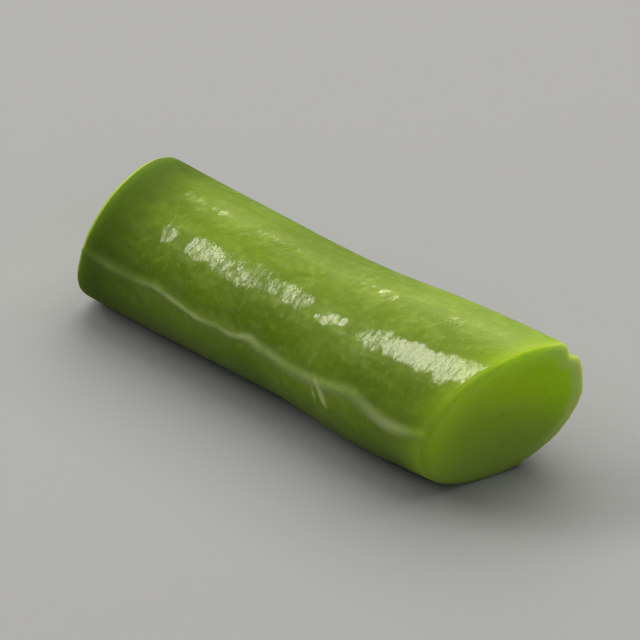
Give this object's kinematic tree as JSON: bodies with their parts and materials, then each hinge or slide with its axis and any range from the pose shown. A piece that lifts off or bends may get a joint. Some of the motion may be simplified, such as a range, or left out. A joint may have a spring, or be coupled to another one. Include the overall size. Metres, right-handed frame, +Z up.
{
  "type": "green bean",
  "caption": "Cut length of a cooked green bean pod with slanting cut ends, a fine raised front seam and a grooved back seam, lying on its side.",
  "frame": {"origin": "on the floor, under the middle of the pod's box", "axes": "+X runs along the pod to its thicker cut end, +Y to the grooved seam's side, +Z up"},
  "size_m": [0.0328, 0.0102, 0.0101],
  "materials": {
    "bean": "wet, glossy, slightly translucent pod skin; the cut faces are a brighter yellow-green"
  },
  "bodies": {
    "root": {"green_bean": "bean"}
  },
  "joints": []
}
